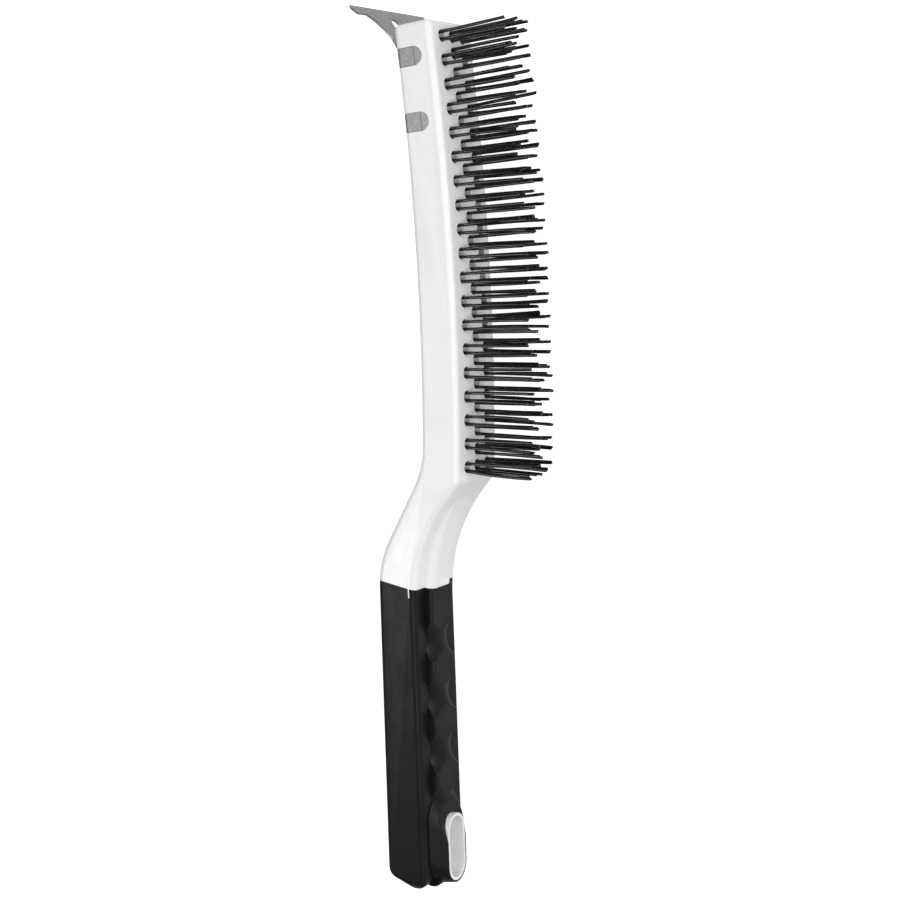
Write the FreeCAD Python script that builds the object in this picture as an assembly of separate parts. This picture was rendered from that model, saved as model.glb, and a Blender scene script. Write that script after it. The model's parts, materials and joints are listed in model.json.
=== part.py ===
import FreeCAD, Part
import math
import os

# Grill cleaning brush, lying on its side.
# X runs along the brush with the scraper end at +X, the bristles point to -Y, the back is at +Y,
# and Z runs across the width.  Everything is built with Z = 0 on the plane of symmetry and with
# X = 0 near the middle of the bristle field, then moved so that the origin is at the bottom centre.

Vec = FreeCAD.Vector

# ---------------------------------------------------------------- driving dimensions, mm
WIDTH = 32.8             # across the side faces of the head and the handle
HEAD_THICK = 16.3        # bristle face to back
FACE_RADIUS = 1150.0     # the bristle face is gently crowned along its length
FACE_APEX_X = 2.0
HEAD_TOP_X = 92.4
FACE_END_X = -85.2       # lower end of the bristle face
EDGE_ROUND = 2.5
FACE_END_ROUND = 4.0

HANDLE_SLOPE = 0.033     # the handle's back leans by this much per millimetre
FRONT_SLOPE = 0.026      # and its front by this much
NECK_BACK_CORNER = (-78.8, 19.1)
HANDLE_BACK_CORNER = (-116.9, 42.2)
NECK_BACK_RADIUS = 35.0
HANDLE_BACK_RADIUS = 40.0
RIB_CORNER = (-109.5, 21.85)
RIB_RADIUS = 84.0
SHOULDER_CORNER = (-110.4, 25.3)
SHOULDER_RADIUS = 66.0
RIB_HALF_WIDTH = 8.8
NECK_RIB_ROUND = 4.2     # the rib's long edges on the white neck
GRIP_RIB_ROUND = 1.3     # and on the grip
RIB_BURIED = 10.0        # how far the rib reaches into the handle behind its front
BUTT_X = -253.2
BUTT_PLAN_RADIUS = 45.0
BUTT_SLANT = 7.5         # the back of the butt ends this much short of the front
BUTT_ROUND = 5.0
BUTT_SIDE_ROUND = 5.0

GRIP_START_BACK_X = -123.6
GRIP_START_BACK_Y = 43.0
GRIP_START_FRONT_X = -128.4
GRIP_START_FRONT_Y = 23.0
GRIP_WALL = 2.2
SLIT_WIDTH = 0.5
SLIT_LENGTH = 3.6
SLIT_DEPTH = 3.4
SLIT_BACK = 2.2          # from the shoulder line to the slit

FINGER_PITCH = 22.6
FIRST_RIDGE_X = -161.6
RIDGE_COUNT = 3
GROOVE_RADIUS = 13.0     # of the hollows between the finger ridges, seen from the side
GROOVE_DEPTH = 0.8       # in the middle of the rib
GROOVE_EDGE_DEPTH = 4.0  # and at its two edges

HANG_CENTRE_X = -236.2
HANG_LENGTH = 25.4
HANG_WIDTH = 11.0
COLLAR_WALL = 1.2
COLLAR_PROUD = 2.5       # of the collar's rim over the rib, and of the rubber mound beside it
BACK_LIP_PROUD = 0.5
MOUND_RIM = 0.8          # width of the mound's flat top
MOUND_SIDE = 5.6         # drop of the mound's flared side
MOUND_FLARE = 5.0        # and how far it reaches out
MOUND_LEAN = 4.4         # its foot lies this much nearer the head than its top
MOUND_RAMP = 12.0        # length over which the mound rises from the rib

TUFTS_PER_OUTER_ROW = 19
TUFT_PITCH = 9.2
FIRST_TUFT_X = 86.1
ROW_SPACING = 8.1
END_NUDGE = 1.7          # keeps the two end tufts of the middle row clear of their neighbours
FILAMENT_DIAMETER = 1.15
LEG_GAP = 2.9            # between the two legs of one folded filament
STACK_GAP = 1.3          # between the two folded filaments of one tuft
FREE_LENGTH = 29.0
HOLE_DIAMETER = 4.8
HOLE_DEPTH = 11.5
FOLD_DEPTH = 10.8
STAPLE_LENGTH = 4.5
STAPLE_HEIGHT = 1.8
STAPLE_THICK = 0.45

SHEET = 0.9
STRIP_START_X = 48.5
STRIP_HALF_WIDTH = 13.4
BEND_X = 80.0
BLADE_ANGLE = 34.0
TAB_WIDTH = 6.8
TAB_CENTRES_X = (53.8, 78.4)
TAB_DROP = 7.6
POCKET_DEPTH = 1.2
POCKET_GAP = 0.3
BLADE_HOLE_DIAMETER = 5.8
BLADE_HOLE_FROM_BEND = 16.2
# half outline of the blade, as (distance from the bend, distance from the middle)
BLADE_WAIST_MIDDLE = (4.2, 11.7)
BLADE_WAIST = (9.0, 11.0)
BLADE_FLARE_MIDDLE = (15.2, 13.6)
EAR_ROOT = (19.8, 19.0)
EAR_NOTCH = (19.5, 25.0)
EAR_TIP = (22.2, 28.0)
EAR_CORNER = (23.2, 27.8)
BEVEL_ANGLE = 22.0       # of the ground cutting edge
BEVEL_LENGTH = 1.6
TAB_BEND_RADIUS = 2.0
TAB_TONGUE_THICK = 0.45  # thin round end of a tab, deep in its pocket

HALF = WIDTH / 2
OVER = 5.0               # how far cutting shapes run past what they cut
BACK_RADIUS = FACE_RADIUS - HEAD_THICK
SHEET_RADIUS = BACK_RADIUS + SHEET    # the strip lies sunk in the back, flush with it
FACE_CENTRE = Vec(FACE_APEX_X, FACE_RADIUS, 0)


# ---------------------------------------------------------------- helpers
def on_circle(radius, x):
    """The point of the crowned face (or a face parallel to it) at length position x."""
    dx = x - FACE_APEX_X
    return Vec(x, FACE_RADIUS - math.sqrt(radius * radius - dx * dx), 0)


def face_point(x):
    return on_circle(FACE_RADIUS, x)


def face_normal(x):
    """Unit vector out of the bristle face, away from the brush."""
    out = face_point(x) - FACE_CENTRE
    return out.multiply(1 / out.Length)


def radial_point(x, depth):
    """The point a given depth behind the bristle face, straight below its point at x."""
    return face_point(x) - face_normal(x).multiply(depth)


def arc_between(radius, start, end):
    middle_dir = (start + end).multiply(0.5) - FACE_CENTRE
    middle = FACE_CENTRE + middle_dir.multiply(radius / middle_dir.Length)
    return Part.Arc(start, middle, end).toShape()


def corner_arc(before, corner, after, radius):
    """Tangent points and middle of the arc that rounds a corner."""
    u = (before - corner).normalize()
    v = (after - corner).normalize()
    half_angle = u.getAngle(v) / 2
    run = radius / math.tan(half_angle)
    bisector = (u + v).normalize()
    middle = corner + bisector.multiply(radius / math.sin(half_angle) - radius)
    return corner + u.multiply(run), middle, corner + v.multiply(run)


def rounded_run(start, corners, end):
    """Edges from start to end through rounded corners given as (point, radius)."""
    points = [start] + [c for c, _ in corners] + [end]
    edges = []
    last = start
    for i, (corner, radius) in enumerate(corners):
        a, m, b = corner_arc(points[i], corner, points[i + 2], radius)
        if (a - last).Length > 1e-6:
            edges.append(Part.LineSegment(last, a).toShape())
        edges.append(Part.Arc(a, m, b).toShape())
        last = b
    edges.append(Part.LineSegment(last, end).toShape())
    return edges


def slab(edges, half_width):
    """A closed outline in the X-Y plane made into a slab across the width."""
    wire = Part.Wire(Part.__sortEdges__(edges))
    wire.translate(Vec(0, 0, -half_width))
    return Part.Face(wire).extrude(Vec(0, 0, 2 * half_width))


def prism(points, half_width):
    closed = points + [points[0]]
    pairs = zip(closed, closed[1:])
    return slab([Part.LineSegment(p, q).toShape() for p, q in pairs], half_width)


def stadium(length, width, centre, direction, depth):
    """A slot-shaped block: long along X, wide along Z, driven along a direction."""
    r = width / 2
    c = (length - width) / 2
    a, b = Vec(c, 0, r), Vec(-c, 0, r)
    d, e = Vec(-c, 0, -r), Vec(c, 0, -r)
    wire = Part.Wire([
        Part.LineSegment(a, b).toShape(),
        Part.Arc(b, Vec(-c - r, 0, 0), d).toShape(),
        Part.LineSegment(d, e).toShape(),
        Part.Arc(e, Vec(c + r, 0, 0), a).toShape(),
    ])
    wire.rotate(Vec(0, 0, 0), Vec(0, 0, 1), -math.degrees(math.atan(FRONT_SLOPE)))
    wire.translate(centre)
    return Part.Face(wire).extrude(Vec(direction).multiply(depth))


def fillet_where(shape, radius, wanted):
    edges = [e for e in shape.Edges if wanted(e)]
    return shape.makeFillet(radius, edges)


def lies_flat(edge, z):
    box = edge.BoundBox
    return abs(box.ZMin - z) < 1e-4 and abs(box.ZMax - z) < 1e-4


def is_cross(edge, x_low, x_high):
    """An edge that runs across the width between two length positions."""
    box = edge.BoundBox
    inside = x_low < box.Center.x < x_high
    return inside and box.XLength < 0.01 and box.YLength < 0.01 and box.ZLength > 5


# ---------------------------------------------------------------- handle lines
def back_y(x):
    """Back line of the handle."""
    cx, cy = HANDLE_BACK_CORNER
    return cy + HANDLE_SLOPE * (cx - x)


def rib_y(x):
    """Front line of the handle's finger rib."""
    cx, cy = RIB_CORNER
    return cy + FRONT_SLOPE * (cx - x)


def shoulder_y(x):
    """Front line beside the rib."""
    cx, cy = SHOULDER_CORNER
    return cy + FRONT_SLOPE * (cx - x)


HANDLE_OUT = Vec(-FRONT_SLOPE, -1, 0).normalize()    # out of the handle's front


def outline(front_corner, front_radius, front_y):
    """Side outline of the whole brush between its back and one of its two front lines."""
    top_front = face_point(HEAD_TOP_X)
    top_back = radial_point(HEAD_TOP_X, HEAD_THICK)
    face_end = face_point(FACE_END_X)
    head_end = on_circle(BACK_RADIUS, -65.0)
    butt_back = Vec(BUTT_X + BUTT_SLANT, back_y(BUTT_X), 0)
    butt_front = Vec(BUTT_X, front_y(BUTT_X), 0)
    edges = [
        arc_between(FACE_RADIUS, face_end, top_front),
        Part.LineSegment(top_front, top_back).toShape(),
        arc_between(BACK_RADIUS, top_back, head_end),
        Part.LineSegment(butt_back, butt_front).toShape(),
    ]
    back = [(Vec(*NECK_BACK_CORNER, 0), NECK_BACK_RADIUS),
            (Vec(*HANDLE_BACK_CORNER, 0), HANDLE_BACK_RADIUS)]
    edges += rounded_run(head_end, back, butt_back)
    edges += rounded_run(face_end, [(Vec(*front_corner, 0), front_radius)], butt_front)
    return edges


def butt_plan():
    """Plan shape that rounds the butt: a long block across the depth with an arc at its end."""
    sag = BUTT_PLAN_RADIUS - math.sqrt(BUTT_PLAN_RADIUS ** 2 - HALF ** 2)
    side_x = BUTT_X + sag
    a, b = Vec(120, -5, HALF), Vec(side_x, -5, HALF)
    c, d = Vec(side_x, -5, -HALF), Vec(120, -5, -HALF)
    wire = Part.Wire([
        Part.LineSegment(a, b).toShape(),
        Part.Arc(b, Vec(BUTT_X, -5, 0), c).toShape(),
        Part.LineSegment(c, d).toShape(),
        Part.LineSegment(d, a).toShape(),
    ])
    block = Part.Face(wire).extrude(Vec(0, 70, 0))
    return fillet_where(block, BUTT_SIDE_ROUND, lambda e: is_along_depth(e, side_x))


def is_along_depth(edge, x):
    """An edge that runs along the depth at one length position."""
    box = edge.BoundBox
    return abs(box.Center.x - x) < 0.01 and box.XLength < 0.01 and box.YLength > 5


def rib_outline():
    """Side outline of the rib: its front line, and a back line buried in the handle."""
    setback, sink = 1.5, 0.6
    top = face_point(FACE_END_X + setback) + Vec(0, sink, 0)
    butt_front = Vec(BUTT_X, rib_y(BUTT_X), 0)
    corner = Vec(*RIB_CORNER, 0)
    bend_x = RIB_CORNER[0] - RIB_RADIUS / 4
    bend = Vec(bend_x, rib_y(bend_x) + RIB_BURIED + setback, 0)
    buried = [butt_front + Vec(0.4 * BUTT_SLANT, RIB_BURIED, 0), bend,
              Vec(FACE_END_X, HEAD_THICK - setback, 0), top]
    edges = rounded_run(top, [(corner, RIB_RADIUS)], butt_front)
    for start, end in zip([butt_front] + buried, buried):
        edges.append(Part.LineSegment(start, end).toShape())
    return edges


def outer_form(rib_round):
    """The brush's outer shape, plastic and grip together, with the rib's edges rounded so much."""
    wide = slab(outline(SHOULDER_CORNER, SHOULDER_RADIUS, shoulder_y), HALF)
    wide = fillet_where(wide, EDGE_ROUND, lambda e: is_cross(e, HEAD_TOP_X - 2, HEAD_TOP_X + 1))
    wide = fillet_where(wide, BUTT_ROUND, lambda e: is_cross(e, BUTT_X - 1, BUTT_X + BUTT_SLANT + 1))
    wide = fillet_where(wide, FACE_END_ROUND, is_face_end)
    wide = fillet_where(wide, EDGE_ROUND, lambda e: lies_flat(e, HALF) or lies_flat(e, -HALF))
    rib = slab(rib_outline(), RIB_HALF_WIDTH)
    rib = fillet_where(rib, BUTT_ROUND, lambda e: is_cross(e, BUTT_X - 1, BUTT_X + 1))
    rib = fillet_where(rib, rib_round, is_rib_edge)
    plan = butt_plan()
    return wide.common(plan).fuse(rib.common(plan)).removeSplitter()


def is_face_end(edge):
    """The corner across the width where the bristle face ends and the neck begins."""
    return is_cross(edge, FACE_END_X - 1, FACE_END_X + 1) and edge.BoundBox.YMax < HEAD_THICK / 2


def is_rib_edge(edge):
    """One of the long front edges of the rib or an edge round its butt."""
    box = edge.BoundBox
    flat = lies_flat(edge, RIB_HALF_WIDTH) or lies_flat(edge, -RIB_HALF_WIDTH)
    return flat and box.XLength > 2.5 and box.Center.y < rib_y(box.Center.x) + 1


def grip_zone():
    """Everything on the handle side of the slanted line where the grip begins."""
    front = Vec(GRIP_START_FRONT_X, GRIP_START_FRONT_Y, 0)
    back = Vec(GRIP_START_BACK_X, GRIP_START_BACK_Y, 0)
    along = back - front
    low, high = front - along * 0.65, back + along * 0.85
    beyond = BUTT_X - 10 * OVER
    points = [low, high, Vec(beyond, high.y, 0), Vec(beyond, low.y, 0)]
    return prism(points, HALF + OVER)


def grip_core():
    """The plastic bar inside the grip, with its back corners cut off at both ends."""
    wall = GRIP_WALL
    start, start_cut = GRIP_START_BACK_X + 8, 8
    end, end_cut = BUTT_X + 9, 3
    points = [
        Vec(start, back_y(start) - wall - 2, 0),
        Vec(start - start_cut, back_y(start - start_cut) - wall, 0),
        Vec(end + end_cut, back_y(end + end_cut) - wall, 0),
        Vec(end, back_y(end) - wall - 4, 0),
        Vec(end, shoulder_y(end) + wall, 0),
        Vec(start, shoulder_y(start) + wall, 0),
    ]
    return prism(points, HALF - wall)


def hang_block(grow, front, back):
    """A slot-shaped block at the hang hole, grown sideways and run from front to back."""
    x = HANG_CENTRE_X
    centre = Vec(x, rib_y(x), 0) + Vec(HANDLE_OUT).multiply(front)
    depth = back_y(x) - rib_y(x) + front + back
    return stadium(HANG_LENGTH + 2 * grow, HANG_WIDTH + 2 * grow, centre, HANDLE_OUT * -1, depth)


def mound_ring(x, grow, proud):
    """Outline of the mound at one height over the rib, centred at x."""
    centre = Vec(x, rib_y(x), 0) + Vec(HANDLE_OUT).multiply(proud)
    block = stadium(HANG_LENGTH + 2 * grow, HANG_WIDTH + 2 * grow, centre, HANDLE_OUT, 1.0)
    return max(block.Faces, key=lambda f: f.CenterOfMass.y).OuterWire


def hang_mound():
    """The rubber mound beside the hang hole's collar: flared sides, and a ramp at its upper end."""
    top = COLLAR_WALL + MOUND_RIM
    foot = mound_ring(HANG_CENTRE_X + MOUND_LEAN, top + MOUND_FLARE, COLLAR_PROUD - MOUND_SIDE)
    rings = [foot, mound_ring(HANG_CENTRE_X, top, COLLAR_PROUD)]
    mound = Part.makeLoft(rings, True, True)
    ramp_top = HANG_CENTRE_X + HANG_LENGTH / 2 + COLLAR_WALL
    ramp_foot = Vec(ramp_top, rib_y(ramp_top), 0)
    ramp_end = ramp_foot + Vec(-MOUND_RAMP, 0, 0) + Vec(HANDLE_OUT).multiply(COLLAR_PROUD)
    ahead, out = Vec(4 * OVER, 0, 0), Vec(0, -2 * OVER, 0)
    above = [ramp_foot + ahead, ramp_foot, ramp_end, ramp_end + out, ramp_foot + ahead + out]
    return mound.cut(prism(above, HALF))


def groove(x):
    """A finger hollow's cutter: hollow along the handle, and crowned across it."""
    arch = GROOVE_EDGE_DEPTH - GROOVE_DEPTH
    crown = (RIB_HALF_WIDTH ** 2 + arch ** 2) / (2 * arch)
    bottom = Vec(x, rib_y(x), 0) - Vec(HANDLE_OUT).multiply(GROOVE_DEPTH)
    axis_point = bottom - Vec(HANDLE_OUT).multiply(crown)
    along = Vec(-1, FRONT_SLOPE, 0).normalize()
    return Part.makeTorus(crown + GROOVE_RADIUS, GROOVE_RADIUS, axis_point, along)


def finger_grooves():
    """The hollows before, between and after the finger ridges, cut out of the rib only."""
    first = FIRST_RIDGE_X + FINGER_PITCH / 2
    places = [first - i * FINGER_PITCH for i in range(RIDGE_COUNT + 1)]
    top, butt = places[0] + FINGER_PITCH, places[-1] - FINGER_PITCH
    over = RIB_BURIED
    above_shoulder = [Vec(top, shoulder_y(top), 0), Vec(butt, shoulder_y(butt), 0),
                      Vec(butt, shoulder_y(butt) - over, 0), Vec(top, shoulder_y(top) - over, 0)]
    rib_space = prism(above_shoulder, RIB_HALF_WIDTH + 0.5)
    return [groove(x).common(rib_space) for x in places]


def slits():
    """The narrow notch at the grip's top edge on each side."""
    x = GRIP_START_FRONT_X - SLIT_LENGTH / 2
    low = Vec(GRIP_START_FRONT_X + 1.2 - SLIT_LENGTH, shoulder_y(x) + SLIT_BACK, HALF - SLIT_DEPTH)
    box = Part.makeBox(SLIT_LENGTH + 2, SLIT_WIDTH, SLIT_DEPTH + 1, low)
    return both_sides(box)


# ---------------------------------------------------------------- tuft positions
def outer_row_x():
    return [FIRST_TUFT_X - i * TUFT_PITCH for i in range(TUFTS_PER_OUTER_ROW)]


def middle_row_x():
    outer = outer_row_x()
    between = [(a + b) / 2 for a, b in zip(outer, outer[1:])]
    between[0] -= END_NUDGE
    between[-1] += END_NUDGE
    return [outer[0]] + between + [outer[-1]]


def tuft_ranks():
    """Each rank: the places (x, z) of the tufts that sit side by side across the face."""
    outer = outer_row_x()
    ranks = []
    for i, x in enumerate(middle_row_x()):
        places = [(x, 0.0)]
        if i < len(outer):
            places += [(outer[i], ROW_SPACING), (outer[i], -ROW_SPACING)]
        ranks.append(places)
    return ranks


def folded_filament(x, z):
    """One thick filament folded in two: two parallel legs joined by a round bend in the hole."""
    normal = face_normal(x)
    side = Vec(-normal.y, normal.x, 0)
    origin = face_point(x) + Vec(0, 0, z)
    half_gap = LEG_GAP / 2
    bend = half_gap
    foot = origin - normal * (FOLD_DEPTH - bend)
    tip = origin + normal * FREE_LENGTH
    left, right = side * -half_gap, side * half_gap
    path = Part.Wire([
        Part.LineSegment(tip + left, foot + left).toShape(),
        Part.Arc(foot + left, foot - normal * bend, foot + right).toShape(),
        Part.LineSegment(foot + right, tip + right).toShape(),
    ])
    section = Part.Wire([Part.Circle(tip + left, normal, FILAMENT_DIAMETER / 2).toShape()])
    return path.makePipeShell([section], True, True)


def tuft(x, z):
    return [folded_filament(x, z - STACK_GAP / 2), folded_filament(x, z + STACK_GAP / 2)]


def staple(x, z):
    """Flat wire anchor that crosses the folds and bites into the plastic at the hole's bottom."""
    normal = face_normal(x)
    block = Part.makeBox(STAPLE_THICK, STAPLE_HEIGHT, STAPLE_LENGTH)
    block.translate(Vec(-STAPLE_THICK / 2, -STAPLE_HEIGHT, -STAPLE_LENGTH / 2))
    block.rotate(Vec(0, 0, 0), Vec(0, 0, 1), math.degrees(math.atan2(normal.x, -normal.y)))
    depth = FOLD_DEPTH - FILAMENT_DIAMETER / 2 - 0.1
    place = face_point(x) - normal * depth
    block.translate(Vec(place.x, place.y, z))
    return block


def tuft_hole(x, z):
    normal = face_normal(x)
    start = face_point(x) + normal * 2 + Vec(0, 0, z)
    return Part.makeCylinder(HOLE_DIAMETER / 2, HOLE_DEPTH + 2, start, normal * -1)


# ---------------------------------------------------------------- scraper
def blade_point(place, side=1):
    """A point of the flat blade's outline on one side of its middle line."""
    along, across = place
    return Vec(along, 0, across * side)


def blade_side(side):
    """One long side of the blade: waist, flare and ear."""
    foot = blade_point((0, STRIP_HALF_WIDTH), side)
    waist = blade_point(BLADE_WAIST, side)
    root = blade_point(EAR_ROOT, side)
    edges = [
        Part.Arc(foot, blade_point(BLADE_WAIST_MIDDLE, side), waist).toShape(),
        Part.Arc(waist, blade_point(BLADE_FLARE_MIDDLE, side), root).toShape(),
    ]
    ear = [blade_point(place, side) for place in (EAR_ROOT, EAR_NOTCH, EAR_TIP, EAR_CORNER)]
    for start, end in zip(ear, ear[1:]):
        edges.append(Part.LineSegment(start, end).toShape())
    return edges


def blade():
    """The fan-shaped blade with its two ears, flat, then tilted about the bend line."""
    top = Part.LineSegment(blade_point(EAR_CORNER), blade_point(EAR_CORNER, -1)).toShape()
    foot_place = (0, STRIP_HALF_WIDTH)
    foot = Part.LineSegment(blade_point(foot_place, -1), blade_point(foot_place)).toShape()
    wire = Part.Wire(Part.__sortEdges__(blade_side(1) + [top] + blade_side(-1) + [foot]))
    plate = Part.Face(wire).extrude(Vec(0, SHEET, 0))
    hole_start = Vec(BLADE_HOLE_FROM_BEND, -SHEET, 0)
    plate = plate.cut(Part.makeCylinder(BLADE_HOLE_DIAMETER / 2, 3 * SHEET, hole_start, Vec(0, 1, 0)))
    edge_width = 2 * (EAR_TIP[1] + OVER)
    bevel = Part.makeBox(4, 4, edge_width, Vec(0, 0, -edge_width / 2))
    bevel.rotate(Vec(0, 0, 0), Vec(0, 0, 1), -BEVEL_ANGLE)
    bevel.translate(Vec(EAR_CORNER[0] - BEVEL_LENGTH, SHEET, 0))
    plate = plate.cut(bevel)
    plate.rotate(Vec(0, 0, 0), Vec(0, 0, 1), BLADE_ANGLE)
    plate.translate(on_circle(SHEET_RADIUS, BEND_X))
    return plate


def back_normal(x):
    """Unit vector out of the back of the head."""
    inward = FACE_CENTRE - on_circle(BACK_RADIUS, x)
    return inward.multiply(1 / inward.Length)


def tab_box(x, width, drop, inner_z, outer_z, over=0.0):
    """A block on one side face, square to the back at x, from above the back down the side."""
    out = back_normal(x)
    block = Part.makeBox(width, drop + over, outer_z - inner_z, Vec(-width / 2, -drop, inner_z))
    block.rotate(Vec(0, 0, 0), Vec(0, 0, 1), math.degrees(math.atan2(-out.x, out.y)))
    place = on_circle(BACK_RADIUS, x)
    block.translate(place)
    return block


def both_sides(shape):
    return [shape, shape.mirror(Vec(0, 0, 0), Vec(0, 0, 1))]


def strip():
    """The flat steel strip sunk in the back, bent to the back's curve."""
    low_start, low_end = on_circle(BACK_RADIUS, STRIP_START_X), on_circle(BACK_RADIUS, BEND_X)
    high_start, high_end = on_circle(SHEET_RADIUS, STRIP_START_X), on_circle(SHEET_RADIUS, BEND_X)
    ring = [
        arc_between(BACK_RADIUS, low_start, low_end),
        arc_between(SHEET_RADIUS, high_start, high_end),
        Part.LineSegment(low_start, high_start).toShape(),
        Part.LineSegment(low_end, high_end).toShape(),
    ]
    return slab(ring, STRIP_HALF_WIDTH)


def bend_roll():
    """The round outside of the bend between the strip and the blade."""
    axis_start = Vec(0, 0, -STRIP_HALF_WIDTH)
    roll = Part.makeCylinder(SHEET, 2 * STRIP_HALF_WIDTH, axis_start, Vec(0, 0, 1), 180)
    roll.rotate(Vec(0, 0, 0), Vec(0, 0, 1), 10)
    bend = on_circle(SHEET_RADIUS, BEND_X)
    roll.translate(bend)
    side = 4.0
    near = Part.makeBox(side, side, WIDTH, bend + Vec(-side / 2, 0, -HALF))
    return roll.common(near)


def tab_end(x, z):
    """Where the middle of a tab's free end lies, at one depth in the side face."""
    end = on_circle(BACK_RADIUS, x) - back_normal(x) * TAB_DROP
    return end + Vec(0, 0, z)


def side_tab(x, inner_z, outer_z):
    """A tab bent over from the strip onto one side face, with its thin round end."""
    side = tab_box(x, TAB_WIDTH, TAB_DROP, inner_z, outer_z)
    over = tab_box(x, TAB_WIDTH, SHEET, STRIP_HALF_WIDTH - 1, outer_z)
    clip = side.fuse(over).removeSplitter()
    clip = fillet_where(clip, TAB_BEND_RADIUS, lambda e: outer_corner(e, outer_z))
    start = tab_end(x, inner_z)
    tongue = Part.makeCylinder(TAB_WIDTH / 2, TAB_TONGUE_THICK, start, Vec(0, 0, 1))
    return clip.fuse(tongue)


def scraper():
    inner_z = HALF - POCKET_DEPTH + 0.05
    outer_z = inner_z + SHEET
    pieces = [blade(), bend_roll()]
    for x in TAB_CENTRES_X:
        pieces += both_sides(side_tab(x, inner_z, outer_z))
    return strip().fuse(pieces).removeSplitter()


def outer_corner(edge, z):
    """The bend line of a side tab, where it turns from the back to the side face."""
    box = edge.BoundBox
    back = on_circle(BACK_RADIUS, box.Center.x).y
    return lies_flat(edge, z) and box.XLength > TAB_WIDTH * 0.8 and box.Center.y > back - SHEET / 2


def pockets():
    """The shallow channel in the back for the strip, and round-ended recesses for the tabs."""
    ahead, behind = BEND_X + 2, STRIP_START_X - POCKET_GAP
    floor = SHEET_RADIUS + POCKET_GAP
    out = Vec(0, OVER, 0)
    channel = [on_circle(floor, behind), on_circle(floor, ahead),
               on_circle(BACK_RADIUS, ahead) + out, on_circle(BACK_RADIUS, behind) + out]
    cutters = [prism(channel, STRIP_HALF_WIDTH + POCKET_GAP)]
    inner, outer = HALF - POCKET_DEPTH, HALF + OVER
    width = TAB_WIDTH + 2 * POCKET_GAP
    for x in TAB_CENTRES_X:
        slot = tab_box(x, width, TAB_DROP, inner, outer, OVER)
        bridge = tab_box(x, width, SHEET + POCKET_GAP, STRIP_HALF_WIDTH - 1, outer, OVER)
        round_end = Part.makeCylinder(width / 2, outer - inner, tab_end(x, inner), Vec(0, 0, 1))
        cutters += both_sides(slot.fuse([round_end, bridge]))
    return cutters


# ---------------------------------------------------------------- the pieces
def brush_body(form, zone):
    core = grip_core()
    collar = hang_block(COLLAR_WALL, COLLAR_PROUD, BACK_LIP_PROUD)
    hole = hang_block(0.0, 12, 12)
    tongues = []
    for box in slits():
        tongues.append(box.common(form.common(zone)))
    body = form.cut(zone).fuse([core, collar] + tongues)
    cutters = [hole] + pockets()
    for places in tuft_ranks():
        cutters += [tuft_hole(x, z) for x, z in places]
    return body.cut(cutters).removeSplitter()


def grip_sleeve(form, zone):
    grip = form.common(zone)
    grip = grip.cut(finger_grooves())
    grip = grip.fuse(hang_mound().common(butt_plan()))
    collar = hang_block(COLLAR_WALL, 12, 12)
    return grip.cut([grip_core(), collar] + slits()).removeSplitter()


def build():
    zone = grip_zone()
    nodes = {
        "brush_body": brush_body(outer_form(NECK_RIB_ROUND), zone),
        "grip_sleeve": grip_sleeve(outer_form(GRIP_RIB_ROUND), zone),
        "scraper": scraper(),
    }
    for number, places in enumerate(tuft_ranks(), 1):
        filaments = []
        for x, z in places:
            filaments += tuft(x, z)
        nodes[f"bristle_tufts_{number:02d}"] = Part.makeCompound(filaments)
        nodes[f"tuft_staples_{number:02d}"] = Part.makeCompound([staple(x, z) for x, z in places])
    return nodes


def move_to_origin(nodes):
    """Put the origin at the bottom centre of the whole brush."""
    box = Part.makeCompound(list(nodes.values())).optimalBoundingBox(False)
    shift = Vec(-box.Center.x, -box.Center.y, -box.ZMin)
    for shape in nodes.values():
        shape.translate(shift)
    return shift


def main():
    os.makedirs("parts", exist_ok=True)
    nodes = build()
    shift = move_to_origin(nodes)
    print(f"moved by {shift.x:.3f}, {shift.y:.3f}, {shift.z:.3f}")
    for name, shape in nodes.items():
        box = shape.optimalBoundingBox(False)
        print(f"{name}: {len(shape.Solids)} solids, valid {shape.isValid()}, {shape.Volume:.0f} mm3, "
              f"{box.XLength:.1f} x {box.YLength:.1f} x {box.ZLength:.1f}")
        shape.exportStep(f"parts/{name}.step")


main()
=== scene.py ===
"""Looks of a grill cleaning brush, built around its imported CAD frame.

The brush lies on its side on a pale table: X runs along it towards the scraper, the
bristles point to -Y, and Z is up.  All lengths are in metres.
"""

import json
import logging
import math
import random
from dataclasses import dataclass, field
from enum import Enum
from typing import Callable, Dict, List, Optional, Sequence, Set, Tuple

import bmesh
import bpy
from mathutils import Matrix, Vector

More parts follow.
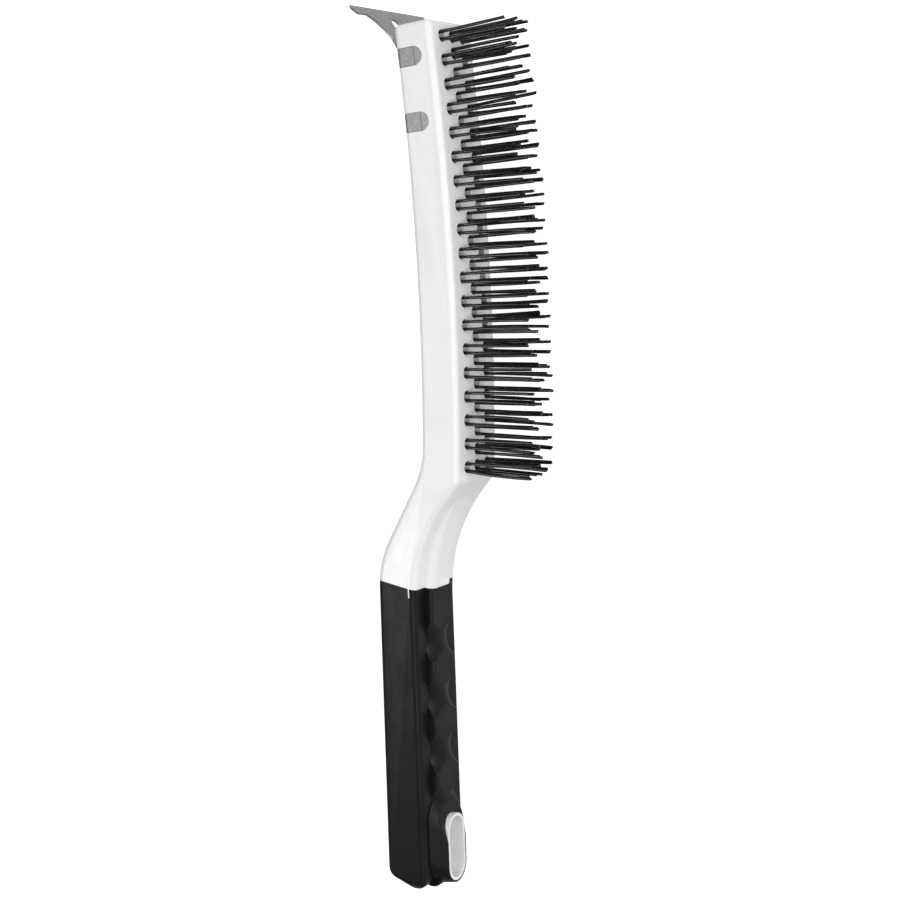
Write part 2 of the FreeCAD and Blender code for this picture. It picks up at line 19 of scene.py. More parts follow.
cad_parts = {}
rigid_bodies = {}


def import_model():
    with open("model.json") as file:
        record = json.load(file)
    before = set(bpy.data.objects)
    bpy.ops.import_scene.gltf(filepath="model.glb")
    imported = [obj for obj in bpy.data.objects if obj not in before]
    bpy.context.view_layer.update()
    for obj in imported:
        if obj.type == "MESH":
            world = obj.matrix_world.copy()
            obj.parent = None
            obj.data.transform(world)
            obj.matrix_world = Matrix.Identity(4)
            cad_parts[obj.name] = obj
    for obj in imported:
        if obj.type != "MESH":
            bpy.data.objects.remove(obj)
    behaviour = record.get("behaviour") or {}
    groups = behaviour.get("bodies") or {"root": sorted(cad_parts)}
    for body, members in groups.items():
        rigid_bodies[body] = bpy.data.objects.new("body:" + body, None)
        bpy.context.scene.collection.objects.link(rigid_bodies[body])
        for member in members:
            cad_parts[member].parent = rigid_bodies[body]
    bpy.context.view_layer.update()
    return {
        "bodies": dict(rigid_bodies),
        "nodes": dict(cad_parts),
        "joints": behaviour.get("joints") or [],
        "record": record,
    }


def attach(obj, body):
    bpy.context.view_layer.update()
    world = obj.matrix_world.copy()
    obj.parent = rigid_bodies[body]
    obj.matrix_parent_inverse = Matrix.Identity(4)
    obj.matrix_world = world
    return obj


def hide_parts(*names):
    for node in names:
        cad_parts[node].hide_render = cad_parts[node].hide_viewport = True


LOG = logging.getLogger("grill_brush")
MM = 0.001
WELD = 2e-6              # metres; points nearer than this are one point
ACROSS = Vector((0.0, 0.0, 1.0))    # across the brush's width, upwards as it lies

Colour = Tuple[float, float, float, float]
Range = Tuple[float, float]
Fold = Tuple[Vector, Vector, Vector]
Socket = bpy.types.NodeSocket
Tree = bpy.types.NodeTree


# ---------------------------------------------------------------------------
# small helpers for node trees
# ---------------------------------------------------------------------------
class Wiring:
    """Adds nodes to one tree and links them, with short calls for the common ones."""

    def __init__(self, tree: Tree) -> None:
        """Start on a tree.

        Args:
            tree: the material's or group's node tree.
        """
        self.tree = tree

    def add(self, kind: str, **settings: object) -> bpy.types.Node:
        """Add a node and set its properties.

        Args:
            kind: Blender's node type name.
            **settings: property values of the new node.

        Returns:
            The new node.
        """
        node = self.tree.nodes.new(kind)
        for name, value in settings.items():
            setattr(node, name, value)
        return node

    def join(self, source: Socket, target: Socket) -> None:
        """Link two sockets."""
        self.tree.links.new(source, target)

    def feed(self, node: bpy.types.Node, **inputs: object) -> None:
        """Set or link a node's inputs by name, with underscores for spaces.

        Args:
            node: the node whose inputs are set.
            **inputs: a socket to link from, or a plain value.
        """
        for name, value in inputs.items():
            socket = node.inputs[name.replace("_", " ")]
            if isinstance(value, bpy.types.NodeSocket):
                self.join(value, socket)
            else:
                socket.default_value = value

    def noise(self, where: Socket, scale: Socket | float, detail: float = 3.0,
              rough: float = 0.5) -> Socket:
        """A noise value at a place, from 0 to 1.

        Args:
            where: the coordinate socket.
            scale: the noise's scale, a number or a socket.
            detail: octaves of detail.
            rough: roughness of the octaves.

        Returns:
            The factor output.
        """
        node = self.add("ShaderNodeTexNoise")
        self.feed(node, Vector=where, Scale=scale, Detail=detail, Roughness=rough)
        return node.outputs["Fac"]

    def stretch(self, where: Socket, scale: Tuple[float, float, float]) -> Socket:
        """Coordinates stretched along the axes, for grain that runs one way.

        Args:
            where: the coordinate socket.
            scale: the factor along each axis.

        Returns:
            The stretched coordinates.
        """
        node = self.add("ShaderNodeMapping")
        self.feed(node, Vector=where, Scale=scale)
        return node.outputs["Vector"]

    def span(self, value: Socket, low: float, high: float, to_low: float = 0.0,
             to_high: float = 1.0) -> Socket:
        """Map a value from one range to another, clamped.

        Args:
            value: the value socket.
            low: start of the input range.
            high: end of the input range.
            to_low: output at the start.
            to_high: output at the end.

        Returns:
            The mapped value.
        """
        node = self.add("ShaderNodeMapRange")
        self.feed(node, Value=value, From_Min=low, From_Max=high, To_Min=to_low, To_Max=to_high)
        return node.outputs["Result"]

    def math(self, operation: str, a: Socket | float, b: Socket | float) -> Socket:
        """A two-value maths node.

        Args:
            operation: the maths node's operation.
            a: first value, a number or a socket.
            b: second value, a number or a socket.

        Returns:
            The result.
        """
        node = self.add("ShaderNodeMath", operation=operation)
        for socket, value in zip(node.inputs, (a, b)):
            if isinstance(value, bpy.types.NodeSocket):
                self.join(value, socket)
            else:
                socket.default_value = value
        return node.outputs["Value"]

    def blend(self, factor: Socket, a: Socket | Colour, b: Socket | Colour) -> Socket:
        """Mix two colours by a factor socket.

        Args:
            factor: 0 gives the first colour and 1 the second.
            a: first colour, a value or a socket.
            b: second colour, a value or a socket.

        Returns:
            The mixed colour.
        """
        node = self.add("ShaderNodeMix", data_type="RGBA")
        self.join(factor, node.inputs["Factor"])
        first, second = [socket for socket in node.inputs if socket.type == "RGBA"]
        for socket, value in ((first, a), (second, b)):
            if isinstance(value, bpy.types.NodeSocket):
                self.join(value, socket)
            else:
                socket.default_value = value
        return next(socket for socket in node.outputs if socket.type == "RGBA")


class GroupFactory:
    """Builds each shared effect once, as a node group with named inputs and outputs."""

    def __init__(self) -> None:
        """Start with no groups built."""
        self._built: Dict[str, Tree] = {}

    def get(self, name: str, build: Callable[[Tree], None]) -> Tree:
        """The group of that name, built on first use.

        Args:
            name: the group's name.
            build: fills an empty tree.

        Returns:
            The finished group tree.
        """
        if name not in self._built:
            tree = bpy.data.node_groups.new(name, "ShaderNodeTree")
            build(tree)
            self._built[name] = tree
        return self._built[name]


GROUPS = GroupFactory()


def group_socket(tree: Tree, name: str, way: str, kind: str = "NodeSocketFloat",
                 value: Optional[float] = None) -> None:
    """Declare one socket of a group.

    Args:
        tree: the group's tree.
        name: the socket's name.
        way: "INPUT" or "OUTPUT".
        kind: the socket's type.
        value: default value, if any.
    """
    item = tree.interface.new_socket(name=name, in_out=way, socket_type=kind)
    if value is not None:
        item.default_value = value


def build_edge_wear_and_highlight(tree: Tree) -> None:
    """Mask of convex edges, broken up by noise: 1 on the edges, 0 on flats; the rubber and steel use
    it for worn edges, the plastic for a painted highlight.

    Args:
        tree: the empty group tree.
    """
    group_socket(tree, "Vector", "INPUT", "NodeSocketVector")
    group_socket(tree, "Amount", "INPUT", value=1.0)
    group_socket(tree, "Break Up", "INPUT", value=300.0)
    group_socket(tree, "Mask", "OUTPUT")
    w = Wiring(tree)
    inside = w.add("NodeGroupInput")
    outside = w.add("NodeGroupOutput")
    geometry = w.add("ShaderNodeNewGeometry")
    # convex edges: worn edges on the rubber and steel, a painted edge highlight on the white plastic
    edges = w.span(geometry.outputs["Pointiness"], 0.505, 0.56)
    speckle = w.noise(inside.outputs["Vector"], inside.outputs["Break Up"], 4.0, 0.6)
    broken = w.math("MULTIPLY", edges, w.span(speckle, 0.35, 0.65, 0.35, 1.0))
    w.join(w.math("MULTIPLY", broken, inside.outputs["Amount"]), outside.inputs["Mask"])


def build_fine_grain(tree: Tree) -> None:
    """Two sizes of grain mixed into one height and one soft mottling value.

    Args:
        tree: the empty group tree.
    """
    group_socket(tree, "Vector", "INPUT", "NodeSocketVector")
    group_socket(tree, "Fine Scale", "INPUT", value=4000.0)
    group_socket(tree, "Broad Scale", "INPUT", value=60.0)
    group_socket(tree, "Height", "OUTPUT")
    group_socket(tree, "Mottle", "OUTPUT")
    w = Wiring(tree)
    inside = w.add("NodeGroupInput")
    outside = w.add("NodeGroupOutput")
    fine = w.noise(inside.outputs["Vector"], inside.outputs["Fine Scale"], 2.0, 0.5)
    broad = w.noise(inside.outputs["Vector"], inside.outputs["Broad Scale"], 5.0, 0.55)
    height = w.math("ADD", w.math("MULTIPLY", fine, 0.7), w.math("MULTIPLY", broad, 0.3))
    w.join(height, outside.inputs["Height"])
    w.join(broad, outside.inputs["Mottle"])


def build_streaks(tree: Tree) -> None:
    """Long thin streaks, as rolling or drawing leaves them, with a few deeper scratches.

    Args:
        tree: the empty group tree.
    """
    group_socket(tree, "Vector", "INPUT", "NodeSocketVector")
    group_socket(tree, "Scale", "INPUT", value=900.0)
    group_socket(tree, "Streak", "OUTPUT")
    group_socket(tree, "Scratch", "OUTPUT")
    w = Wiring(tree)
    inside = w.add("NodeGroupInput")
    outside = w.add("NodeGroupOutput")
    streak = w.noise(inside.outputs["Vector"], inside.outputs["Scale"], 6.0, 0.65)
    wide = w.math("MULTIPLY", inside.outputs["Scale"], 0.3)
    coarse = w.noise(inside.outputs["Vector"], wide, 3.0, 0.7)
    w.join(streak, outside.inputs["Streak"])
    w.join(w.span(coarse, 0.60, 0.66), outside.inputs["Scratch"])


def build_dust(tree: Tree) -> None:
    """Soft patches of handling haze, for roughness and a faint tint.

    Args:
        tree: the empty group tree.
    """
    group_socket(tree, "Vector", "INPUT", "NodeSocketVector")
    group_socket(tree, "Scale", "INPUT", value=25.0)
    group_socket(tree, "Haze", "OUTPUT")
    w = Wiring(tree)
    inside = w.add("NodeGroupInput")
    outside = w.add("NodeGroupOutput")
    patches = w.noise(inside.outputs["Vector"], inside.outputs["Scale"], 6.0, 0.6)
    w.join(w.span(patches, 0.42, 0.68), outside.inputs["Haze"])


# ---------------------------------------------------------------------------
# finishes
# ---------------------------------------------------------------------------
@dataclass(frozen=True)
class Finish:
    """What every finish has: a name, a way to start its material and the shared effects."""

    name: str

    def start(self) -> Tuple[bpy.types.Material, Wiring, bpy.types.Node, Socket]:
        """Begin a node material.

        Returns:
            The material, its wiring, its Principled shader and the object coordinates.
        """
        material = bpy.data.materials.new(self.name)
        material.use_nodes = True
        tree = material.node_tree
        shader = tree.nodes["Principled BSDF"]
        wiring = Wiring(tree)
        where = wiring.add("ShaderNodeTexCoord").outputs["Object"]
        return material, wiring, shader, where

    def group(self, wiring: Wiring, name: str, build: Callable[[Tree], None],
              **inputs: object) -> bpy.types.Node:
        """Place a shared effect in this material.

        Args:
            wiring: the material's wiring.
            name: the group's name.
            build: the group's builder.
            **inputs: the group's input values or sockets.

        Returns:
            The group node.
        """
        node = wiring.add("ShaderNodeGroup", node_tree=GROUPS.get(name, build))
        wiring.feed(node, **inputs)
        return node

    def grain(self, wiring: Wiring, where: Socket, fine: float, broad: float) -> bpy.types.Node:
        """Place the shared fine grain.

        Args:
            wiring: the material's wiring.
            where: the coordinates.
            fine: scale of the fine grain.
            broad: scale of the broad mottling.

        Returns:
            The group node.
        """
        return self.group(wiring, "fine grain", build_fine_grain, Vector=where, Fine_Scale=fine,
                          Broad_Scale=broad)

    def haze(self, wiring: Wiring, where: Socket, scale: float) -> Socket:
        """Place the shared handling haze.

        Args:
            wiring: the material's wiring.
            where: the coordinates.
            scale: scale of the patches.

        Returns:
            The haze, from 0 to 1.
        """
        node = self.group(wiring, "handling haze", build_dust, Vector=where, Scale=scale)
        return node.outputs["Haze"]

    def wear_and_highlight(self, wiring: Wiring, where: Socket, amount: float, break_up: float) -> Socket:
        """Place the shared convex-edge mask: worn edges on the rubber and steel, a painted highlight
        on the plastic.

        Args:
            wiring: the material's wiring.
            where: the coordinates.
            amount: how strong the mask is, from 0 to 1.
            break_up: scale of the noise that breaks it up.

        Returns:
            The mask, 1 on convex edges.
        """
        node = self.group(wiring, "edge wear", build_edge_wear_and_highlight, Vector=where, Amount=amount,
                          Break_Up=break_up)
        return node.outputs["Mask"]

    def bump(self, wiring: Wiring, shader: bpy.types.Node, height: Socket, strength: float,
             depth: float) -> None:
        """Feed a height into the shader's normal through a Bump node.

        Args:
            wiring: the material's wiring.
            shader: the Principled shader.
            height: the height socket.
            strength: strength of the bump.
            depth: height of the relief in metres.
        """
        node = wiring.add("ShaderNodeBump")
        wiring.feed(node, Height=height, Strength=strength, Distance=depth)
        wiring.join(node.outputs["Normal"], shader.inputs["Normal"])

    def make(self) -> bpy.types.Material:
        """Build the material; each finish does this its own way."""
        raise NotImplementedError


@dataclass(frozen=True)
class MouldedPlastic(Finish):
    """Satin moulded plastic with a faint mould texture and slightly glossier edges, painted paler as a
    highlight.
    """

    colour: Colour = (0.80, 0.80, 0.79, 1.0)
    shade: Colour = (0.74, 0.74, 0.72, 1.0)
    hazed: Colour = (0.70, 0.69, 0.66, 1.0)
    # painted highlight: this paler white is laid along the convex edges to look like the light that
    # rounded edges catch
    painted_edge_highlight: Colour = (0.86, 0.86, 0.86, 1.0)
    haze_amount: float = 0.10
    roughness: Range = (0.34, 0.46)
    polish: float = 0.08
    bump_strength: float = 0.10
    bump_depth: float = 0.03 * MM

    def make(self) -> bpy.types.Material:
        """Build the material.

        Returns:
            The finished material.
        """
        material, w, shader, where = self.start()
        grain = self.grain(w, where, 2600.0, 38.0)
        haze = self.haze(w, where, 22.0)
        # the edge mask paints the convex edges paler as a highlight and also lowers their roughness
        wear_and_highlight = self.wear_and_highlight(w, where, 0.7, 240.0)
        low, high = self.roughness
        tint = w.blend(w.span(grain.outputs["Mottle"], 0.35, 0.7, 0.0, 0.5), self.colour, self.shade)
        tint = w.blend(w.math("MULTIPLY", haze, self.haze_amount), tint, self.hazed)
        # painted highlight: convex edges are blended towards the paler white
        w.join(w.blend(wear_and_highlight, tint, self.painted_edge_highlight), shader.inputs["Base Color"])
        rough = w.span(haze, 0.0, 1.0, low, high)
        rough = w.math("SUBTRACT", rough, w.math("MULTIPLY", wear_and_highlight, self.polish))
        w.join(rough, shader.inputs["Roughness"])
        shader.inputs["IOR"].default_value = 1.48
        self.bump(w, shader, grain.outputs["Height"], self.bump_strength, self.bump_depth)
        return material


@dataclass(frozen=True)
class SoftRubber(Finish):
    """Black soft-touch rubber: fine grain, uneven satin and paler rubbed edges."""

    colour: Colour = (0.0050, 0.0042, 0.0044, 1.0)
    mottled: Colour = (0.007, 0.0062, 0.0064, 1.0)
    hazed: Colour = (0.0105, 0.0094, 0.0095, 1.0)
    rubbed: Colour = (0.034, 0.032, 0.032, 1.0)
    haze_amount: float = 0.35
    roughness: Range = (0.34, 0.48)
    polish: float = 0.10
    bump_strength: float = 0.22
    bump_depth: float = 0.04 * MM

    def make(self) -> bpy.types.Material:
        """Build the material.

        Returns:
            The finished material.
        """
        material, w, shader, where = self.start()
        grain = self.grain(w, where, 1900.0, 70.0)
        haze = self.haze(w, where, 30.0)
        wear_and_highlight = self.wear_and_highlight(w, where, 0.25, 380.0)
        low, high = self.roughness
        tint = w.blend(w.span(grain.outputs["Mottle"], 0.3, 0.75, 0.0, 0.6), self.colour, self.mottled)
        tint = w.blend(w.math("MULTIPLY", haze, self.haze_amount), tint, self.hazed)
        w.join(w.blend(wear_and_highlight, tint, self.rubbed), shader.inputs["Base Color"])
        rough = w.span(grain.outputs["Mottle"], 0.3, 0.7, low, high)
        rough = w.math("SUBTRACT", rough, w.math("MULTIPLY", wear_and_highlight, self.polish))
        w.join(rough, shader.inputs["Roughness"])
        shader.inputs["IOR"].default_value = 1.5
        shader.inputs["Specular IOR Level"].default_value = 0.16
        self.bump(w, shader, grain.outputs["Height"], self.bump_strength, self.bump_depth)
        return material


@dataclass(frozen=True)
class RolledSteel(Finish):
    """Stainless sheet with rolling streaks, scratches and bright edges."""

    colour: Colour = (0.29, 0.29, 0.30, 1.0)
    streaked: Colour = (0.38, 0.38, 0.39, 1.0)
    dulled: Colour = (0.25, 0.25, 0.26, 1.0)
    bright: Colour = (0.66, 0.66, 0.67, 1.0)
    streaks: Tuple[float, float, float] = (1.0, 1.0, 0.06)
    scale: float = 900.0
    haze_amount: float = 0.12
    scratch_amount: float = 0.4
    roughness: Range = (0.40, 0.55)
    haze_roughness: float = 0.08
    bump_strength: float = 0.15
    bump_depth: float = 0.02 * MM

    def make(self) -> bpy.types.Material:
        """Build the material.

        Returns:
            The finished material.
        """
        material, w, shader, where = self.start()
        along = w.stretch(where, self.streaks)
        lines = self.group(w, "rolling streaks", build_streaks, Vector=along, Scale=self.scale)
        streak, scratch = lines.outputs["Streak"], lines.outputs["Scratch"]
        wear_and_highlight = self.wear_and_highlight(w, where, 0.25, 500.0)
        haze = self.haze(w, where, 60.0)
        low, high = self.roughness
        tint = w.blend(w.span(streak, 0.35, 0.65), self.colour, self.streaked)
        tint = w.blend(w.math("MULTIPLY", haze, self.haze_amount), tint, self.dulled)
        tint = w.blend(w.math("MULTIPLY", scratch, self.scratch_amount), tint, self.bright)
        w.join(w.blend(wear_and_highlight, tint, self.bright), shader.inputs["Base Color"])
        shader.inputs["Metallic"].default_value = 1.0
        rough = w.span(streak, 0.3, 0.7, low, high)
        rough = w.math("ADD", rough, w.math("MULTIPLY", haze, self.haze_roughness))
        w.join(rough, shader.inputs["Roughness"])
        self.bump(w, shader, streak, self.bump_strength, self.bump_depth)
        return material


@dataclass(frozen=True)
class DrawnFilament(Finish):
    """Glossy black filament with faint draw lines and rubbed spots."""

    colour: Colour = (0.0025, 0.0023, 0.0024, 1.0)
    rubbed: Colour = (0.008, 0.0078, 0.008, 1.0)
    streaks: Tuple[float, float, float] = (1.0, 0.05, 1.0)
    rub_amount: float = 0.5
    roughness: Range = (0.07, 0.15)
    bump_strength: float = 0.12
    bump_depth: float = 0.02 * MM

    def make(self) -> bpy.types.Material:
        """Build the material.

        Returns:
            The finished material.
        """
        material, w, shader, where = self.start()
        along = w.stretch(where, self.streaks)
        lines = self.group(w, "rolling streaks", build_streaks, Vector=along, Scale=2400.0)
        haze = self.haze(w, where, 240.0)
        low, high = self.roughness
        tint = w.blend(w.math("MULTIPLY", haze, self.rub_amount), self.colour, self.rubbed)
        w.join(tint, shader.inputs["Base Color"])
        w.join(w.span(lines.outputs["Streak"], 0.3, 0.7, low, high), shader.inputs["Roughness"])
        shader.inputs["IOR"].default_value = 1.53
        shader.inputs["Specular IOR Level"].default_value = 0.42
        self.bump(w, shader, lines.outputs["Streak"], self.bump_strength, self.bump_depth)
        return material


@dataclass(frozen=True)
class TableTop(Finish):
    """Plain pale matte surface, barely mottled, with a glow of its own that lights nothing."""

    colour: Colour = (0.72, 0.72, 0.72, 1.0)
    mottled: Colour = (0.70, 0.70, 0.70, 1.0)
    glow: float = 0.75

    def make(self) -> bpy.types.Material:
        """Build the material.

        Returns:
            The finished material.
        """
        material, w, shader, where = self.start()
        patches = w.noise(where, 3.0, 3.0)
        w.join(w.blend(patches, self.colour, self.mottled), shader.inputs["Base Color"])
        shader.inputs["Roughness"].default_value = 0.9
        shader.inputs["Emission Color"].default_value = (1.0, 1.0, 1.0, 1.0)
        seen = w.add("ShaderNodeLightPath").outputs["Is Camera Ray"]
        w.join(w.math("MULTIPLY", seen, self.glow), shader.inputs["Emission Strength"])
        return material


class Slot(Enum):
    """The record's material slots."""

    BODY = "body_plastic"
    GRIP = "grip_rubber"
    STEEL = "scraper_steel"
    FILAMENT = "filament"
    STAPLE = "staple_wire"


@dataclass
class Palette:
    """One material per slot, made once."""

    made: Dict[Slot, bpy.types.Material] = field(default_factory=dict)

    def build(self) -> None:
        """Make every finish of the brush."""
        self.made = {
            Slot.BODY: MouldedPlastic("white moulded plastic").make(),
            Slot.GRIP: SoftRubber("black soft rubber").make(),
            Slot.STEEL: RolledSteel("rolled stainless sheet").make(),
            Slot.FILAMENT: DrawnFilament("glossy black filament").make(),
            Slot.STAPLE: RolledSteel("drawn anchor wire", streaks=(1.0, 1.0, 0.1), scale=2000.0,
                                     roughness=(0.25, 0.4)).make(),
        }

    def dress(self, piece: bpy.types.Object, slot: Slot) -> None:
        """Give a piece the one material of a slot.

        Args:
            piece: the piece to dress.
            slot: the slot whose material it gets.
        """
        piece.data.materials.clear()
        piece.data.materials.append(self.made[slot])


# ---------------------------------------------------------------------------
# mesh helpers
# ---------------------------------------------------------------------------
def new_object(name: str, mesh: bpy.types.Mesh) -> bpy.types.Object:
    """Link a new object that holds a mesh.

    Args:
        name: the object's name.
        mesh: its mesh.

    Returns:
        The new object.
    """
    piece = bpy.data.objects.new(name, mesh)
    bpy.context.scene.collection.objects.link(piece)
    return piece


def shade_smooth(mesh: bpy.types.Mesh) -> None:
    """Smooth-shade every face of a mesh."""
    mesh.polygons.foreach_set("use_smooth", [True] * len(mesh.polygons))


@dataclass
class EasedShell:
    """A CAD piece rebuilt with its sharp corners eased, as moulding or pressing leaves them."""

    node: str
    slot: Slot
    easing: float
    sharp_over: float = math.radians(38.0)
    flat_under: float = math.radians(0.05)
    segments: int = 3

    def build(self, frame: Dict, palette: Palette) -> bpy.types.Object:
        """Copy the node's mesh, weld it, ease its corners and replace the node.

        Args:
            palette: the finished materials.

        Returns:
            The new piece.
        """
        mesh = frame["nodes"][self.node].data.copy()
        mesh.name = f"{self.node} eased"
        grid = bmesh.new()
        grid.from_mesh(mesh)
        bmesh.ops.remove_doubles(grid, verts=grid.verts, dist=WELD)
        bmesh.ops.dissolve_degenerate(grid, edges=grid.edges, dist=WELD / 2)
        bmesh.ops.dissolve_limit(grid, angle_limit=self.flat_under, verts=grid.verts, edges=grid.edges)
        grid.to_mesh(mesh)
        grid.free()
        piece = new_object(f"{self.node}_finished", mesh)
        shade_smooth(mesh)
        self.ease(piece)
        palette.dress(piece, self.slot)
        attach(piece, "root")
        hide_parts(self.node)
        return piece

    def ease(self, piece: bpy.types.Object) -> None:
        """Round the piece's sharp corners a little and shade its flats evenly.

        Args:
            piece: the copied CAD piece.
        """
        bevel = piece.modifiers.new("eased corners", "BEVEL")
        bevel.limit_method = "ANGLE"
        bevel.angle_limit = self.sharp_over
        bevel.width = self.easing
        bevel.segments = self.segments
        bevel.use_clamp_overlap = True
        bevel.harden_normals = True
        shading = piece.modifiers.new("even shading", "WEIGHTED_NORMAL")
        shading.keep_sharp = True


# ---------------------------------------------------------------------------
# the brush's sub-assemblies
# ---------------------------------------------------------------------------
@dataclass
class TuftField:
    """All the tufts: every tuft is two thick filaments folded in two, so four free ends."""

    filament: float = 1.22 * MM
    leg_gap: float = 2.9 * MM
    free_length: float = 29.0 * MM
    hole_depth: float = 10.8 * MM
    sides: int = 10
    steps: int = 9
    bend_steps: int = 8
    fan: float = math.radians(1.0)
    fan_middle: float = 0.35
    fan_spread: float = 0.8
    fan_outward: float = 0.8
    drift: float = math.radians(0.9)
    shortening: float = 0.045
    sag: float = 0.15
    cut_slant: float = 0.55 * MM
    sharp_over: float = math.radians(50.0)
    seed: int = 19

    def build(self, frame: Dict, palette: Palette) -> List[bpy.types.Object]:
        """Build one piece per rank and replace the CAD rank with it.

        Args:
            palette: the finished materials.

        Returns:
            The new pieces.
        """
        chance = random.Random(self.seed)
        names = sorted(n for n in frame["nodes"] if n.startswith("bristle_tufts"))
        pieces = []
        for name in names:
            grid = bmesh.new()
            for place in self.folds_of(frame["nodes"][name]):
                self.fold(grid, place, chance)
            mesh = bpy.data.meshes.new(f"{name} filaments")
            grid.to_mesh(mesh)
            grid.free()
            shade_smooth(mesh)
            mesh.set_sharp_from_angle(angle=self.sharp_over)
            piece = new_object(f"{name}_filaments", mesh)
            palette.dress(piece, Slot.FILAMENT)
            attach(piece, "root")
            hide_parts(name)
            pieces.append(piece)
        return pieces

    def folds_of(self, node: bpy.types.Object) -> List[Fold]:
        """Find where each folded filament of a CAD rank stands.

        Args:
            node: the CAD rank.

        Returns:
            For each folded filament: the middle of its fold's bottom, its direction out of the
            face, and the direction from its first leg to its second.
        """
        grid = bmesh.new()
        grid.from_mesh(node.data)
        bmesh.ops.remove_doubles(grid, verts=grid.verts, dist=WELD)
        seen: Set[int] = set()
        folds = []
        for start in grid.verts:
            if start.index not in seen:
                folds.append(self.measure(self.island(start, seen)))
        grid.free()
        return sorted(folds, key=lambda f: (round(f[0].x, 5), round(f[0].z, 5)))

    def island(self, start: bmesh.types.BMVert, seen: Set[int]) -> List[Vector]:
        """Collect the points of one loose part.

        Args:
            start: any of its points.
            seen: indices of the points already collected; the part's own are added.

        Returns:
            The part's points.
        """
        stack, points = [start], []
        seen.add(start.index)
        while stack:
            vert = stack.pop()
            points.append(vert.co.copy())
            for edge in vert.link_edges:
                other = edge.other_vert(vert)
                if other.index not in seen:
                    seen.add(other.index)
                    stack.append(other)
        return points

    def measure(self, points: Sequence[Vector]) -> Fold:
        """Work out a folded filament's place and directions from its points.

        Args:
            points: all points of the CAD filament.

        Returns:
            The middle of its fold's bottom, its direction out, and its direction across.
        """
        low = min(p.y for p in points)
        tips = [p for p in points if p.y < low + self.filament * 1.2]
        tip = sum(tips, Vector()) / len(tips)
        deep = max(points, key=lambda p: p.y)
        middle = sum(points, Vector()) / len(points)
        base = Vector((deep.x, deep.y, middle.z))
        out = (Vector((tip.x, tip.y, middle.z)) - base).normalized()
        across = Vector((-out.y, out.x, 0.0))
        return base + out * (self.filament / 2), out, across

    def fold(self, grid: bmesh.types.BMesh, place: Fold, chance: random.Random) -> None:
        """Add one folded filament: two spread legs and the bend that joins them.

        Args:
            grid: the mesh being built.
            place: the fold's bottom, direction out and direction across.
            chance: source of the random spread.
        """
        base, out, across = place
        half = self.leg_gap / 2
        left = self.leg(place, -half, chance)
        right = self.leg(place, half, chance)
        bend = []
        for i in range(1, self.bend_steps):
            angle = math.pi * i / self.bend_steps
            rise = out * (half - half * math.sin(angle))
            bend.append(base + rise - across * (half * math.cos(angle)))
        path = list(reversed(left)) + bend + right
        self.tube(grid, path, chance)

    def leg(self, place: Fold, offset: float, chance: random.Random) -> List[Vector]:
        """Points of one leg from the fold to its tip, bending a little once it is free.

        Args:
            place: the fold's bottom, direction out and direction across.
            offset: the leg's signed distance from the fold's middle.
            chance: source of the random spread.

        Returns:
            The points along the leg's middle line.
        """
        base, out, across = place
        side = 1.0 if offset > 0 else -1.0
        if chance.random() < self.fan_outward:
            lean = side * abs(chance.gauss(self.fan_middle, self.fan_spread)) * self.fan
        else:
            lean = chance.gauss(0, self.fan)
        tilt = chance.gauss(0.0, self.drift)
        length = self.free_length * (1.0 - abs(chance.gauss(0.0, self.shortening)))
        sag = chance.gauss(0.0, self.sag) * MM
        root = base + out * abs(offset) + across * offset
        face = self.hole_depth - abs(offset)
        points = [root, root + out * (face * 0.5), root + out * face]
        for i in range(1, self.steps + 1):
            t = i / self.steps
            run = length * t
            bow = math.sin(math.pi * t) * sag
            point = root + out * (face + run) + across * (math.tan(lean) * run + bow)
            points.append(point + ACROSS * (math.tan(tilt) * run * t))
        return points

    def tube(self, grid: bmesh.types.BMesh, path: Sequence[Vector], chance: random.Random) -> None:
        """Sweep a round section along a path, with both ends cut at a slant.

        Args:
            grid: the mesh being built.
            path: the filament's middle line.
            chance: source of the slants' directions.
        """
        radius = self.filament / 2
        rings = []
        last = len(path) - 1
        for i, point in enumerate(path):
            ahead = (path[min(i + 1, last)] - path[max(i - 1, 0)]).normalized()
            second = ahead.cross(ACROSS).normalized()
            first = second.cross(ahead).normalized()
            is_end = i in (0, last)
            turn = chance.uniform(0.0, 2.0 * math.pi) if is_end else 0.0
            ring = []
            for k in range(self.sides):
                angle = 2.0 * math.pi * k / self.sides
                spot = point + (first * math.cos(angle) + second * math.sin(angle)) * radius
                if is_end:
                    slant = self.cut_slant * 0.5 * (math.cos(angle - turn) - 1.0)
                    spot += ahead * (slant if i == last else -slant)
                ring.append(grid.verts.new(spot))
            rings.append(ring)
        for a, b in zip(rings, rings[1:]):
            for k in range(self.sides):
                n = (k + 1) % self.sides
                grid.faces.new((a[k], a[n], b[n], b[k]))
        grid.faces.new(list(reversed(rings[0])))
        grid.faces.new(rings[-1])


@dataclass
class Staples:
    """The flat anchor wires at the bottoms of the tuft holes, shown as the CAD has them."""

    def build(self, frame: Dict, palette: Palette) -> List[bpy.types.Object]:
        """Dress every rank of anchors.

        Args:
            palette: the finished materials.

        Returns:
            The dressed CAD pieces.
        """
        pieces = [o for n, o in sorted(frame["nodes"].items()) if n.startswith("tuft_staples")]
        for piece in pieces:
            palette.dress(piece, Slot.STAPLE)
        return pieces


# ---------------------------------------------------------------------------
# the studio
# ---------------------------------------------------------------------------
@dataclass(frozen=True)
class SoftBox:
    """One square soft box that points at the brush."""

    name: str
    place: Tuple[float, float, float]
    size: float
    power: float

    def build(self) -> None:
        """Hang the soft box and turn it to the origin."""
        data = bpy.data.lights.new(self.name, "AREA")
        data.shape = "SQUARE"
        data.size = self.size
        data.energy = self.power
        place = Vector(self.place)
        lamp = bpy.data.objects.new(self.name, data)
        lamp.location = place
        lamp.rotation_euler = (-place).to_track_quat("-Z", "Y").to_euler()
        bpy.context.scene.collection.objects.link(lamp)


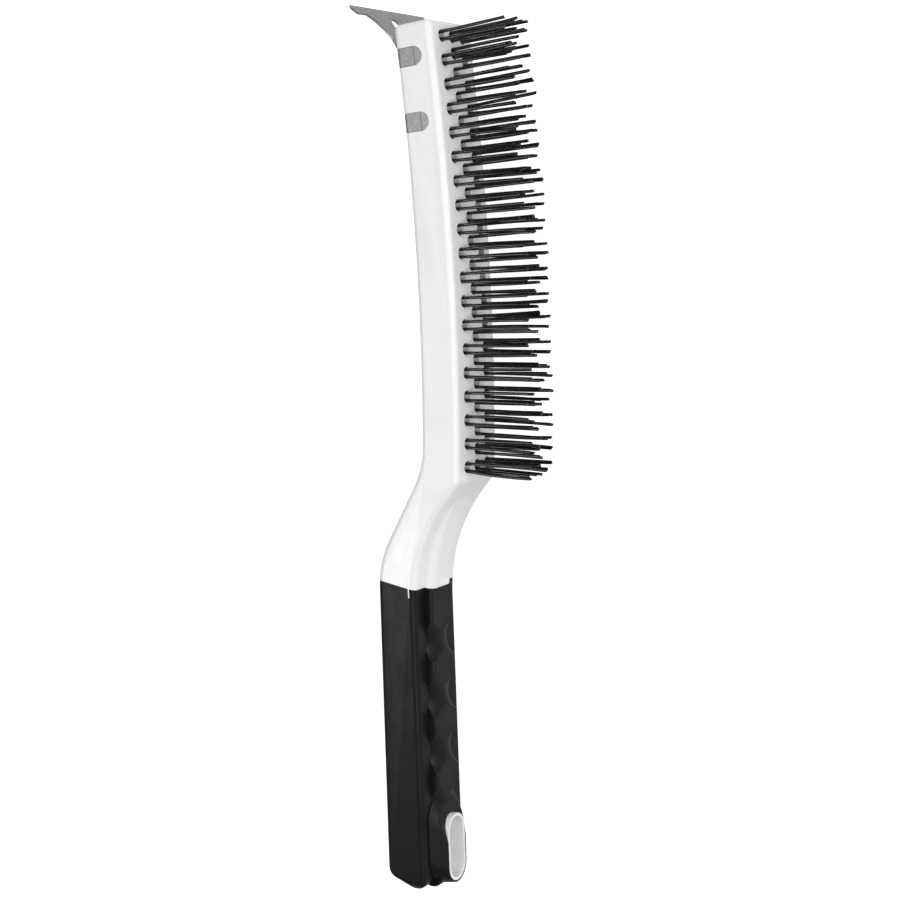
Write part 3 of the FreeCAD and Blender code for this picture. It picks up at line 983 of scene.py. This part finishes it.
@dataclass
class Studio:
    """Table, lights and camera."""

    table_size: float = 6.0
    boxes: Tuple[SoftBox, ...] = (
        SoftBox("overhead soft box", (0.35, -0.05, 1.25), 0.6, 4.0),
        SoftBox("camera side panel", (-0.1, -0.95, 1.05), 0.6, 7.6),
        SoftBox("bristle side panel", (0.2, -1.25, 0.35), 0.6, 5.6),
        SoftBox("head end panel", (1.2, 0.1, 0.5), 0.5, 2.4),
        SoftBox("grip sheen panel", (-0.2, 0.7, 1.2), 0.3, 3.4),
    )
    surround_light: float = 0.24
    surround_seen: float = 1.0
    camera_place: Vector = field(default_factory=lambda: Vector((0.0768, -0.3558, 0.6633)))
    look: Vector = field(default_factory=lambda: Vector((-0.1012, 0.4922, -0.8646)))
    upright: Vector = field(default_factory=lambda: Vector((0.9931, -0.0019, -0.1174)))
    lens: float = 74.14
    sensor: float = 36.0
    nearest: float = 0.01

    def build(self) -> None:
        """Build the table, the lights, the surround and the camera."""
        self.table()
        for box in self.boxes:
            box.build()
        self.world()
        self.camera()

    def table(self) -> None:
        """Lay the pale surface that the brush lies on."""
        half = self.table_size / 2
        mesh = bpy.data.meshes.new("table")
        corners = [(-half, -half, 0.0), (half, -half, 0.0), (half, half, 0.0), (-half, half, 0.0)]
        mesh.from_pydata(corners, [], [(0, 1, 2, 3)])
        piece = new_object("table", mesh)
        mesh.materials.append(TableTop("pale table").make())

    def world(self) -> None:
        """Set an even pale surround, which looks white and lights the brush only softly."""
        world = bpy.data.worlds.new("surround")
        world.use_nodes = True
        background = world.node_tree.nodes["Background"]
        background.inputs["Color"].default_value = (1.0, 1.0, 1.0, 1.0)
        wiring = Wiring(world.node_tree)
        seen = wiring.add("ShaderNodeLightPath").outputs["Is Camera Ray"]
        strength = wiring.span(seen, 0.0, 1.0, self.surround_light, self.surround_seen)
        wiring.join(strength, background.inputs["Strength"])
        bpy.context.scene.world = world
        bpy.context.scene.view_settings.view_transform = "Standard"

    def camera(self) -> None:
        """Place the camera, which looks down at the brush from its bristle side."""
        data = bpy.data.cameras.new("camera")
        data.lens = self.lens
        data.sensor_width = self.sensor
        data.clip_start = self.nearest
        back = -self.look.normalized()
        right = self.upright.cross(back).normalized()
        up = back.cross(right)
        turn = Matrix((right, up, back)).transposed().to_4x4()
        piece = bpy.data.objects.new("camera", data)
        piece.matrix_world = Matrix.Translation(self.camera_place) @ turn
        bpy.context.scene.collection.objects.link(piece)
        bpy.context.scene.camera = piece


def main() -> None:
    """Build the whole brush and its studio."""
    logging.basicConfig(level=logging.INFO, format="%(name)s: %(message)s")
    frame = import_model()
    palette = Palette()
    palette.build()
    shells = [
        EasedShell("brush_body", Slot.BODY, 0.25 * MM),
        EasedShell("grip_sleeve", Slot.GRIP, 0.5 * MM),
        EasedShell("scraper", Slot.STEEL, 0.12 * MM, segments=2),
    ]
    for shell in shells:
        piece = shell.build(frame, palette)
        LOG.info("%s: %d faces", piece.name, len(piece.data.polygons))
    for piece in TuftField().build(frame, palette):
        LOG.info("%s: %d faces", piece.name, len(piece.data.polygons))
    for piece in Staples().build(frame, palette):
        LOG.info("%s: dressed", piece.name)
    Studio().build()
    LOG.info("studio: table, lights and camera")


if __name__ == "__main__":
    main()
